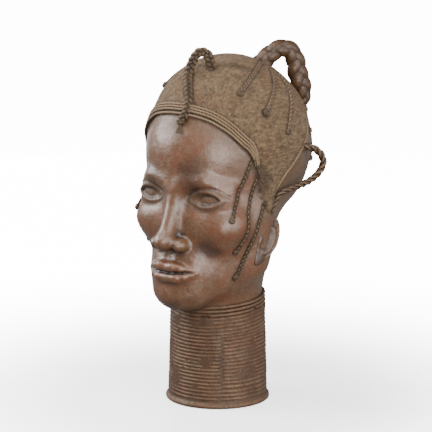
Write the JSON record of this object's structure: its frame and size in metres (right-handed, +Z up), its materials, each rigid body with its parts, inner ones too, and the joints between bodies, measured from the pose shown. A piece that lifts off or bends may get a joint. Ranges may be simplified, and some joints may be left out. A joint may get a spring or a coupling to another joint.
{
  "type": "bronze head sculpture",
  "caption": "Life-size cast bronze head with a fitted cap, looped braids, small laid plaits, a corded brow band and a tall ringed neck with a flat underside.",
  "frame": {"origin": "middle of the neck's flat underside", "axes": "+Z up along the neck, the face looks along -Y, the head's left side is +X"},
  "size_m": [0.1755, 0.2089, 0.3601],
  "materials": {
    "bronze": "dark brown patina, satin on the skin and dull on the cap"
  },
  "bodies": {
    "root": {"bronze_head": "bronze"}
  },
  "joints": []
}
